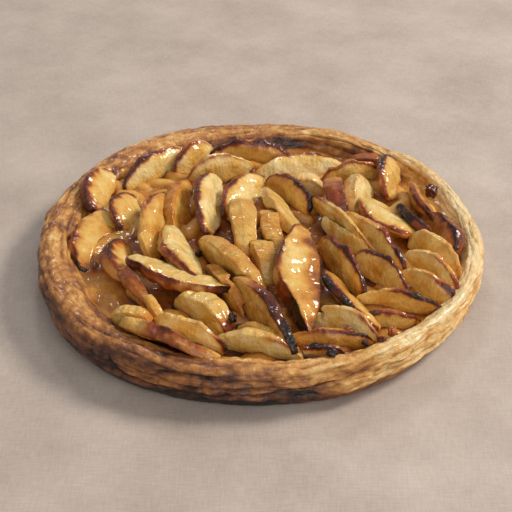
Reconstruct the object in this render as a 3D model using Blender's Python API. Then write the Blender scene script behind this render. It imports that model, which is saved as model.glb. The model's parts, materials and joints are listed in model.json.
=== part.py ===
"""Apple puff pastry tart: a rolled case of layered pastry, custard and baked apple slices."""

import math

import bmesh
import bpy
from mathutils import Vector

MM = 0.001
TURN = 2.0 * math.pi

# Gap left between pieces that touch, in millimetres like every size below
TOUCH_GAP = 0.3

# Pastry case
OUTER_RADIUS = 139.0
OUTLINE_WAVES = ((2, 0.9, 0.6), (3, 0.7, 2.1), (5, 0.5, 0.9), (7, 0.4, 4.0))
CASE_SEGMENTS = 84
RIM_HEIGHTS = (27.0, 27.5, 28.5, 28.0, 29.0, 28.5, 28.0, 26.5, 27.0, 27.5, 28.0, 27.0)
RIM_WIDTHS = (11.0, 9.0, 13.0, 20.0, 19.0, 17.0, 18.0, 22.0, 19.0, 15.0, 12.0, 9.5)

# Section of the rim from outside to inside: share of its width, and drop below its height
RIM_SECTION = ((0.20, 0.5), (0.48, 0.0), (0.80, 1.6), (1.0, 4.5))
WALL_FOOT_INSET = 7.0
WALL_MIDDLE_INSET = 3.15
FLOOR_TOP = 6.0

# Foot, the smooth band above it and the baked layers of the outer wall
BASE_INSET = 8.5
FOOT_INSET = 4.8
FOOT_HEIGHT = 1.4
BAND_INSET = 2.6
BAND_MIDDLE = 4.4
BAND_TOP = 8.0
SHOULDER_INSET = 1.6
SHOULDER_DROP = 2.6
LAYER_COUNT = 4

# Section of one layer: distance in from its front, and share of its height
LAYER_SECTION = ((1.1, 0.05), (0.0, 0.38), (1.3, 0.80))

# The layers run up and down, and in and out, in waves: size, waves round the tart, start
LAYER_RISE = (0.9, 2, 1.7)
LAYER_RISE_SHARE = 0.35
LAYER_FRONT = (0.5, 5, 2.3)
LAYER_LEAN = 0.35

# Custard
CUSTARD_LEVEL = 17.0
CUSTARD_EDGE_RISE = 1.6
CUSTARD_EDGE_WIDTH = 6.0

# Apple slices: wedges of a peeled and cored apple
CORE_RADIUS = 6.0
TIP_SHARE = 0.46
TIP_STRETCH = 2.0
SKIN_FULLNESS = 1.75
CORE_FULLNESS = 2.2
CORE_SCOOP = 0.10
CORE_SCOOP_SPAN = 0.5
SKIN_CROWN = 0.14
SKIN_STEPS = 9
CORE_STEPS = 5

# Looks
PASTRY_COLOUR = (0.55, 0.30, 0.12)
CUSTARD_COLOUR = (0.55, 0.36, 0.14)
APPLE_COLOUR = (0.62, 0.36, 0.10)
SHARP_ANGLE = math.radians(40.0)

# Mesh clean-up after a cut, in metres and radians
WELD = 0.00002
FLAT_ANGLE = math.radians(1.0)

# A slice this near to the case, in millimetres, is cut by it
WALL_MARGIN = 4.0
FLOOR_MARGIN = 1.0

# Each slice runs from one tip to the other, x, y and z in millimetres. Its skin edge bulges
# upwards at lean 0, to the left of the way between the tips at lean 90 and to the right at -90.
# Then come its depth from core to skin and the angle of the wedge, in degrees.
# A slice lies on the ones that are listed before it.
SLICES = (
    ((-102, 26, 21), (-108, -34, 18), -70, 26, 17),
    ((-103, 68, 26), (-111, 28, 24), -55, 22, 20),
    ((-91, 59, 19), (-52, 97, 23), 18, 28, 18),
    ((-80, 10, 17), (-99, -30, 16), -82, 26, 15),
    ((-50, 66, 21), (-6, 81, 23), 10, 27, 17),
    ((-58, 77, 23), (-33, 100, 24), 15, 26, 17),
    ((-36, 96, 20), (22, 96, 20), 5, 30, 19),
    ((-3, 76, 21), (62, 79, 21), 50, 26, 17),
    ((-84, 42, 24), (-89, 12, 22), -50, 26, 18),
    ((-49, 60, 22), (-54, 3, 22), -35, 26, 18),
    ((-62, 40, 26), (-69, -25, 24), -40, 27, 20),
    ((-22, 20, 25), (3, 61, 25), 50, 26, 17),
    ((-30, 62, 28), (-34, -4, 27), -50, 27, 18),
    ((42, 64, 21), (82, 74, 21), 10, 25, 16),
    ((62, 86, 22), (84, 86, 22), 0, 17, 22),
    ((84, 46, 24), (94, 84, 26), 35, 25, 18),
    ((102, 54, 24), (114, 6, 23), -30, 25, 16),
    ((20, 55, 22), (42, 53, 22), 0, 21, 24),
    ((5, 46, 27), (25, -6, 26), -55, 22, 20),
    ((6, 60, 25), (33, 27, 25), 25, 22, 20),
    ((49, 50, 31), (52, 12, 24), -10, 25, 30),
    ((71, 55, 25), (62, 24, 25), -35, 26, 24),
    ((68, 31, 28), (94, -4, 26), -70, 30, 20),
    ((92, 26, 26), (106, -4, 25), -40, 19, 16),
    ((108, 20, 22), (121, -24, 21), 40, 25, 22),
    ((96, -6, 24), (120, -43, 22), 15, 25, 18),
    ((92, -22, 21), (117, -60, 21), 8, 26, 18),
    ((82, -47, 22), (113, -69, 21), 12, 24, 17),
    ((43, 12, 27), (68, -36, 26), 15, 24, 14),
    ((50, 8, 29), (87, -43, 27), 12, 26, 19),
    ((34, 28, 32), (74, -36, 26), -8, 22, 14),
    ((60, -28, 25), (86, -64, 24), 15, 24, 14),
    ((38, -15, 27), (61, -63, 25), 15, 24, 15),
    ((14, -115, 18), (46, -112, 18), -5, 19, 18),
    ((18, -103, 19), (66, -105, 19), 5, 22, 15),
    ((30, -84, 22), (66, -105, 21), 12, 26, 15),
    ((54, -86, 19), (92, -88, 19), -5, 22, 16),
    ((56, -68, 21), (106, -77, 21), -5, 24, 16),
    ((38, -48, 28), (64, -96, 25), -50, 23, 18),
    ((-13, 28, 26), (-10, -25, 27), 2, 26, 36),
    ((5, 18, 25), (9, -32, 26), 0, 24, 28),
    ((-2, -20, 26), (5, -52, 25), 0, 24, 30),
    ((-31, -37, 22), (-9, -81, 21), 0, 24, 18),
    ((-34, -15, 28), (0, -70, 27), 0, 26, 22),
    ((-12, -97, 22), (14, -113, 22), 5, 21, 16),
    ((-9, -77, 23), (14, -111, 22), 15, 24, 18),
    ((-25, -103, 20), (22, -117, 21), 0, 24, 17),
    ((-88, -12, 24), (-84, -46, 23), -45, 24, 20),
    ((-77, -58, 20), (-57, -86, 20), 0, 19, 16),
    ((-84, -83, 22), (-62, -90, 23), 0, 18, 22),
    ((-82, -43, 24), (-64, -73, 23), -30, 22, 22),
    ((-46, -66, 20), (-17, -95, 21), 5, 26, 28),
    ((-60, -88, 22), (-20, -111, 23), 5, 22, 18),
    ((-79, -91, 25), (-24, -120, 25), -40, 22, 20),
    ((-59, -2, 29), (-38, -54, 29), -60, 26, 22),
    ((-79, -38, 30), (-19, -68, 31), -80, 22, 19),
    ((-15, -58, 30), (19, -117, 27), 0, 25, 15),
    ((23, -20, 41), (26, -102, 26), -80, 30, 24),
)


def by_bearing(values, angle):
    """The value at a bearing from values spaced evenly round the tart, counted from +X towards +Y."""
    place = (angle / TURN * len(values)) % len(values)
    low = int(place)
    ease = 0.5 - 0.5 * math.cos(math.pi * (place - low))
    return values[low] * (1.0 - ease) + values[(low + 1) % len(values)] * ease


def outline_radius(angle):
    """Outer radius of the tart, which is round with a few low waves."""
    return OUTER_RADIUS + sum(size * math.sin(count * angle + start) for count, size, start in OUTLINE_WAVES)


def outline_middle():
    """Middle of the outline's own bounding box, which becomes the middle of the model."""
    angles = [TURN * step / CASE_SEGMENTS for step in range(CASE_SEGMENTS)]
    across = [outline_radius(angle) * math.cos(angle) for angle in angles]
    along = [outline_radius(angle) * math.sin(angle) for angle in angles]
    return (min(across) + max(across)) / 2.0, (min(along) + max(along)) / 2.0


def layer_points(angle, height):
    """The baked layers of the outer wall: each is a lip, a rounded front and a groove over it."""
    points = []
    step = (height - SHOULDER_DROP - BAND_TOP) / LAYER_COUNT
    rise, rise_waves, rise_start = LAYER_RISE
    swell, front_waves, front_start = LAYER_FRONT
    for layer in range(LAYER_COUNT):
        wave = rise * math.sin((rise_waves + layer) * angle + rise_start * layer)
        lean = LAYER_LEAN * (LAYER_COUNT - 1 - layer)
        front = max(0.0, lean + swell * math.sin((front_waves + layer) * angle + front_start * layer))
        low = BAND_TOP + step * layer + wave * min(1.0, LAYER_RISE_SHARE * (layer + 1))
        for inset, share in LAYER_SECTION:
            points.append((front + inset, low + share * step))
    return points


def wall_points(angle, gap=0.0):
    """Top of the rim and the inner wall down to the floor. A gap moves them inwards and up."""
    height = by_bearing(RIM_HEIGHTS, angle) + gap
    width = by_bearing(RIM_WIDTHS, angle) + gap
    points = [(share * width, height - drop) for share, drop in RIM_SECTION]
    points.append((width + WALL_MIDDLE_INSET, (height + FLOOR_TOP) / 2.0))
    points.append((width + WALL_FOOT_INSET, FLOOR_TOP + gap))
    return points


def case_profile(angle, gap=0.0):
    """Section of the case at a bearing, as distance in from the outline and height."""
    height = by_bearing(RIM_HEIGHTS, angle)
    foot = [(BASE_INSET, 0.0), (FOOT_INSET, FOOT_HEIGHT), (BAND_INSET, BAND_MIDDLE)]
    shoulder = [(SHOULDER_INSET, height - SHOULDER_DROP)]
    return foot + layer_points(angle, height) + shoulder + wall_points(angle, gap)


def turned_object(name, profile, material):
    """A closed solid of rings, one ring for each point of a profile that changes with the bearing."""
    middle_x, middle_y = outline_middle()
    work = bmesh.new()
    spokes = []
    for segment in range(CASE_SEGMENTS):
        angle = TURN * segment / CASE_SEGMENTS
        spoke = []
        for inset, height in profile(angle):
            radius = outline_radius(angle) - inset
            place = (radius * math.cos(angle) - middle_x, radius * math.sin(angle) - middle_y, height)
            spoke.append(work.verts.new(Vector(place) * MM))
        spokes.append(spoke)
    for segment, spoke in enumerate(spokes):
        following = spokes[(segment + 1) % CASE_SEGMENTS]
        for low in range(len(spoke) - 1):
            work.faces.new((spoke[low], following[low], following[low + 1], spoke[low + 1]))
    work.faces.new([spoke[0] for spoke in reversed(spokes)])
    work.faces.new([spoke[-1] for spoke in spokes])
    return finished_object(name, work, material)


def finished_object(name, work, material):
    """Turns a bmesh into an object of the scene."""
    bmesh.ops.recalc_face_normals(work, faces=work.faces)
    mesh = bpy.data.meshes.new(name)
    work.to_mesh(mesh)
    work.free()
    mesh.materials.append(material)
    thing = bpy.data.objects.new(name, mesh)
    bpy.context.scene.collection.objects.link(thing)
    return thing


def custard_profile(angle):
    """Section of the custard: it fills the case and climbs a little at the edge."""
    lip, middle, foot = wall_points(angle, TOUCH_GAP)[-3:]
    level = CUSTARD_LEVEL + CUSTARD_EDGE_RISE
    climb = (level - foot[1]) / (middle[1] - foot[1])
    if climb <= 1.0:
        edge = foot[0] + climb * (middle[0] - foot[0])
    else:
        edge = middle[0] + (level - middle[1]) / (lip[1] - middle[1]) * (lip[0] - middle[0])
    return [
        foot,
        (foot[0] + (middle[0] - foot[0]) * min(climb, 1.0) * 0.5, foot[1] + (level - foot[1]) * 0.5),
        (edge, level),
        (edge + 0.4 * CUSTARD_EDGE_WIDTH, CUSTARD_LEVEL + 0.4 * CUSTARD_EDGE_RISE),
        (edge + CUSTARD_EDGE_WIDTH, CUSTARD_LEVEL),
    ]


def rounded(value, fullness):
    """One axis of a superellipse, for a sine or cosine value."""
    return math.copysign(abs(value) ** (2.0 / fullness), value)


def slice_outline(depth):
    """Cut face of a slice: points as (share of half length, height over the core line, on the skin)."""
    tip = TIP_SHARE * depth
    points = []
    for step in range(SKIN_STEPS):
        angle = math.pi * step / (SKIN_STEPS - 1)
        along = -rounded(math.cos(angle), SKIN_FULLNESS)
        points.append((along, tip + (depth - tip) * rounded(math.sin(angle), SKIN_FULLNESS), True))
    for step in range(1, CORE_STEPS + 1):
        angle = math.pi * step / (CORE_STEPS + 1)
        along = rounded(math.cos(angle), CORE_FULLNESS)
        scoop = CORE_SCOOP * depth * math.exp(-((along / CORE_SCOOP_SPAN) ** 2))
        points.append((along, tip - tip * rounded(math.sin(angle), CORE_FULLNESS) + scoop, False))
    return points


def slice_object(name, row, material, grow=0.0):
    """One wedge of apple between its two tips. It can be grown all round for use as a cutter."""
    one, two, lean, depth, wedge = row
    one, two = Vector(one), Vector(two)
    along = (two - one).normalized()
    half = (two - one).length / 2.0 + TIP_STRETCH + grow
    side = Vector((-along.y, along.x, 0.0)).normalized()
    tilt = math.radians(lean)
    bulge = along.cross(side) * math.cos(tilt) + side * math.sin(tilt)
    across = side * math.cos(tilt) - along.cross(side) * math.sin(tilt)
    tip = TIP_SHARE * depth
    spread = math.tan(math.radians(wedge) / 2.0)
    work = bmesh.new()
    left, crown, right = [], [], []
    for place, height, on_skin in slice_outline(depth):
        rise = (height - tip) * (1.0 + grow / (0.5 * depth))
        thick = (CORE_RADIUS + height) * spread + grow
        point = (one + two) / 2.0 + along * place * half + bulge * rise
        left.append(work.verts.new((point + across * thick) * MM))
        right.append(work.verts.new((point - across * thick) * MM))
        if on_skin:
            outward = along * place ** 3 + bulge * max(0.0, rise / (depth - tip))
            crown.append(work.verts.new((point + outward.normalized() * SKIN_CROWN * thick) * MM))
    work.faces.new(left)
    work.faces.new(list(reversed(right)))
    for step in range(len(crown) - 1):
        work.faces.new((crown[step], crown[step + 1], left[step + 1], left[step]))
        work.faces.new((right[step], right[step + 1], crown[step + 1], crown[step]))
    last = len(left) - 1
    for step in range(len(crown), last):
        work.faces.new((left[step], right[step], right[step + 1], left[step + 1]))
    end = len(crown) - 1
    work.faces.new((left[end], crown[end], right[end], right[end + 1], left[end + 1]))
    work.faces.new((left[0], left[last], right[last], right[0], crown[0]))
    return finished_object(name, work, material)


def boxes_meet(one, two):
    """Whether the bounding boxes of two unturned objects overlap."""
    spans = []
    for thing in (one, two):
        corners = [vertex.co for vertex in thing.data.vertices]
        spans.append([(min(c[axis] for c in corners), max(c[axis] for c in corners)) for axis in range(3)])
    return all(a[0] < b[1] and b[0] < a[1] for a, b in zip(*spans))


def cut(thing, cutter):
    """Takes the cutter away from an object, and keeps the largest piece that is left."""
    work = cut_mesh(thing, cutter, "EXACT")
    if not closed(work):
        work.free()
        work = cut_mesh(thing, cutter, "MANIFOLD")
    keep_largest(work)
    bmesh.ops.dissolve_limit(work, angle_limit=FLAT_ANGLE, verts=work.verts, edges=work.edges)
    work.to_mesh(thing.data)
    work.free()


def cut_mesh(thing, cutter, solver):
    """The object's mesh without the cutter, as a bmesh."""
    change = thing.modifiers.new("cut", "BOOLEAN")
    change.operation = "DIFFERENCE"
    change.solver = solver
    change.object = cutter
    graph = bpy.context.evaluated_depsgraph_get()
    mesh = bpy.data.meshes.new_from_object(thing.evaluated_get(graph))
    thing.modifiers.clear()
    work = bmesh.new()
    work.from_mesh(mesh)
    bpy.data.meshes.remove(mesh)
    bmesh.ops.remove_doubles(work, verts=work.verts, dist=WELD)
    return work


def closed(work):
    """Whether a mesh has a face on both sides of every edge."""
    return len(work.faces) > 3 and all(len(edge.link_faces) == 2 for edge in work.edges)


def keep_largest(work):
    """Deletes all but the largest connected piece."""
    left = set(work.verts)
    pieces = []
    while left:
        piece = {left.pop()}
        edge_of_piece = list(piece)
        while edge_of_piece:
            vertex = edge_of_piece.pop()
            for edge in vertex.link_edges:
                other = edge.other_vert(vertex)
                if other in left:
                    left.discard(other)
                    piece.add(other)
                    edge_of_piece.append(other)
        pieces.append(piece)
    pieces.sort(key=piece_size)
    for piece in pieces[:-1]:
        bmesh.ops.delete(work, geom=list(piece), context="VERTS")


def piece_size(vertices):
    """Sum of the sides of a piece's bounding box."""
    return sum(max(v.co[axis] for v in vertices) - min(v.co[axis] for v in vertices) for axis in range(3))


def baked_material(name, colour, roughness):
    """A plain material for one kind of piece."""
    material = bpy.data.materials.new(name)
    material.use_nodes = True
    shader = material.node_tree.nodes["Principled BSDF"]
    shader.inputs["Base Color"].default_value = (*colour, 1.0)
    shader.inputs["Roughness"].default_value = roughness
    shader.inputs["Metallic"].default_value = 0.0
    material.diffuse_color = (*colour, 1.0)
    return material


def main():
    for thing in list(bpy.data.objects):
        bpy.data.objects.remove(thing, do_unlink=True)
    pastry = baked_material("baked_pastry", PASTRY_COLOUR, 0.55)
    custard_finish = baked_material("set_custard", CUSTARD_COLOUR, 0.25)

    turned_object("pastry_case", case_profile, pastry)
    custard = turned_object("custard_filling", custard_profile, custard_finish)

    slices, cutters = [], []
    for number, row in enumerate(SLICES, start=1):
        name = f"apple_slice_{number:02d}"
        finish = baked_material(f"baked_apple_{number:02d}", APPLE_COLOUR, 0.35)
        slices.append(slice_object(name, row, finish))
        cutters.append(slice_object(f"room_for_{name}", row, finish, TOUCH_GAP))
    wall = turned_object("room_for_case", lambda angle: case_profile(angle, TOUCH_GAP), pastry)
    bpy.context.view_layer.update()

    for place, thing in enumerate(slices):
        for above in cutters[place + 1:]:
            if boxes_meet(thing, above):
                cut(thing, above)
        if reaches_wall(thing):
            cut(thing, wall)
    for below in cutters:
        if boxes_meet(custard, below):
            cut(custard, below)
    for helper in [*cutters, wall]:
        bpy.data.objects.remove(helper, do_unlink=True)
    for thing in bpy.data.objects:
        thing.data.shade_smooth()
        thing.data.set_sharp_from_angle(angle=SHARP_ANGLE)


def reaches_wall(thing):
    """Whether a slice may touch the inside of the case."""
    widest = max(RIM_WIDTHS) + WALL_FOOT_INSET
    inner = (OUTER_RADIUS - widest - WALL_MARGIN) * MM
    low = (FLOOR_TOP + FLOOR_MARGIN) * MM
    return any(v.co.xy.length > inner or v.co.z < low for v in thing.data.vertices)


main()
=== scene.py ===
"""Apple puff pastry tart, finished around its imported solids. Run it as a script in Blender."""

import json
import math

import bmesh
import bpy
import numpy as np
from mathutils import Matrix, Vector
from mathutils.bvhtree import BVHTree

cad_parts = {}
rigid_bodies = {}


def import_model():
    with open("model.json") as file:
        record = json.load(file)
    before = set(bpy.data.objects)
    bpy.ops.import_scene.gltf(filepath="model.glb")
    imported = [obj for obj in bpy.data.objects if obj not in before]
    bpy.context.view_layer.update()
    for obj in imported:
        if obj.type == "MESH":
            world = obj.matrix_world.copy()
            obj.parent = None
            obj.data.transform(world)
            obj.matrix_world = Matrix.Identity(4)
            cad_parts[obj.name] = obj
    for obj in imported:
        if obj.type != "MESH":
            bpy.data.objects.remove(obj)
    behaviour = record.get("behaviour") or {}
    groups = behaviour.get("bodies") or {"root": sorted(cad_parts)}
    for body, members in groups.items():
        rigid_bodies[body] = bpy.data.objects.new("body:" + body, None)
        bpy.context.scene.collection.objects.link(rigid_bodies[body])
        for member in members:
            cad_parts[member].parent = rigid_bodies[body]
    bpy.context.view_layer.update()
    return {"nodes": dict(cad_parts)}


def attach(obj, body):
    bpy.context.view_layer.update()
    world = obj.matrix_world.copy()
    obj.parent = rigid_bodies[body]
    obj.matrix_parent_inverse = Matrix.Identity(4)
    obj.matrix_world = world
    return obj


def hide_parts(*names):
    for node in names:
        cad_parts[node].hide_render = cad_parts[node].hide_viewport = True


bl_info = {
    "name": "Apple Puff Pastry Tart",
    "version": (1, 0, 0),
    "blender": (4, 5, 0),
    "location": "View3D > Sidebar > Tart",
    "description": "Models the pastry case, the custard, the baked apple slices and the table under them",
    "category": "Object",
}

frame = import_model()
BODY = "root"
MM = 0.001
TURN = 2.0 * math.pi

# Pastry case, in millimetres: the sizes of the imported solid, repeated for the fine surface
OUTER_RADIUS = 139.0
OUTLINE_WAVES = ((2, 0.9, 0.6), (3, 0.7, 2.1), (5, 0.5, 0.9), (7, 0.4, 4.0))
CAD_SEGMENTS = 84
RIM_HEIGHTS = (27.0, 27.5, 28.5, 28.0, 29.0, 28.5, 28.0, 26.5, 27.0, 27.5, 28.0, 27.0)
RIM_WIDTHS = (11.0, 9.0, 13.0, 20.0, 19.0, 17.0, 18.0, 22.0, 19.0, 15.0, 12.0, 9.5)
RIM_SECTION = ((0.20, 0.5), (0.48, 0.0), (0.80, 1.6), (1.0, 4.5))
WALL_FOOT_INSET = 7.0
WALL_MIDDLE_INSET = 3.15
FLOOR_TOP = 6.0
BASE_INSET = 8.5
FOOT_INSET = 4.8
FOOT_HEIGHT = 1.4
BAND_INSET = 2.6
BAND_MIDDLE = 4.4
BAND_TOP = 8.0
SHOULDER_INSET = 1.6
SHOULDER_DROP = 2.6
BAND_TOP_INSET = 1.2
BELLY_INSET = 0.5
BELLY_HEIGHT = 13.0
UPPER_INSET = 0.3
UPPER_DROP = 8.0
# Fine surface of the case: vertices round it, and steps between the corners of its section, from the
# base up and over
CASE_COLUMNS = 700
SECTION_STEPS = (3, 6, 10, 26, 26, 12, 6, 10, 12, 10, 8, 4)
# Noise runs round the case in whole cells of 24 mm, so that it meets itself
CELLS_ROUND = 36.0
# Sides of the case that are coloured differently, partly by browning and partly by painted light: the
# right front and the right side are painted paler where the key light falls, and the front left and the
# left outside darker with painted shade. Each is a bearing from +X towards +Y, and reach, in degrees
LEFT_SIDE = (190.0, 60.0)
BACK_SIDE = (90.0, 50.0)
FRONT_LEFT = (225.0, 38.0)
FRONT_SIDE = (262.0, 30.0)
RIGHT_FRONT = (332.0, 48.0)
RIGHT_SIDE = (5.0, 45.0)
# Burnt marks: bearing and reach in degrees, then height on the wall or inset on the rim, and its reach
WALL_SCORCH = (254.5, 2.2, 13.0, 4.5)
RIM_SCORCH = (293.0, 1.1, 10.0, 2.6)

# Custard
CUSTARD_LEVEL = 17.0
CUSTARD_EDGE_RISE = 1.6
CUSTARD_COLUMNS = 360
CUSTARD_RINGS = 120
# Bits of apple sunk in the custard, how far out they reach, and the bare place on the left without them
SUNKEN_BITS = 150
SUNKEN_REACH = 122.0
SUNKEN_LENGTHS = (10.0, 19.0)
SUNKEN_WIDTHS = (4.0, 6.5)
SUNKEN_HEIGHTS = (3.0, 6.5)
BARE_RIGHT_EDGE = -70.0
BARE_FRONT_EDGE = -95.0
BARE_BACK_EDGE = 5.0
# How far from a slice its syrup still climbs and darkens the custard, with painted shade between slices
SYRUP_REACH = 6.0
BURNT_SPOT = (-98.0, -65.0)

# Apple slices: wedges of a peeled and cored apple
CORE_RADIUS = 6.0
TIP_SHARE = 0.46
TIP_STRETCH = 2.0
SKIN_FULLNESS = 1.75
# Grain of the softened slices, and how much of a ridge's thickness is baked away
VOXEL = 0.7
RIDGE_SLIM = 0.62
RIDGE_BROAD = 0.18
BROAD_RIDGES = (1, 2, 4, 10, 15, 18, 19, 21, 22, 24, 25, *range(40, 53), 54, 56, 57, 58)
# Slices that narrow to a point: share of their width lost at tip one and tip two
TAPERS = {58: (0.25, 0.6), 55: (0.2, 0.35), 56: (0.15, 0.35), 31: (0.2, 0.3), 13: (0.15, 0.15)}
# Slices with brown syrup down the core side, and how strong it is
SYRUPY = {58: 0.6, 40: 0.15, 33: 0.3, 31: 0.2, 10: 0.2}
# How far baked flesh swells past the wedge, in millimetres
SWELL = 0.5
# Shares of the burn and of its reach in SLICES that are used
BURN_DEPTH = 0.8
BURN_REACH = 0.6
# How far in from the skin the ridge is pinched and its crest is uneven, and how uneven
PINCH_REACH = 5.0
CREST_REACH = 4.0
CREST_WAVE = 1.7
CREST_RIPPLE = 0.55
CREST_DROP = 0.4
# How far a slice twists, and how far its faces slump in broad and in small waves
TWIST = 1.6
SLUMP = 1.3
SLUMP_RIPPLE = 0.5

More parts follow.
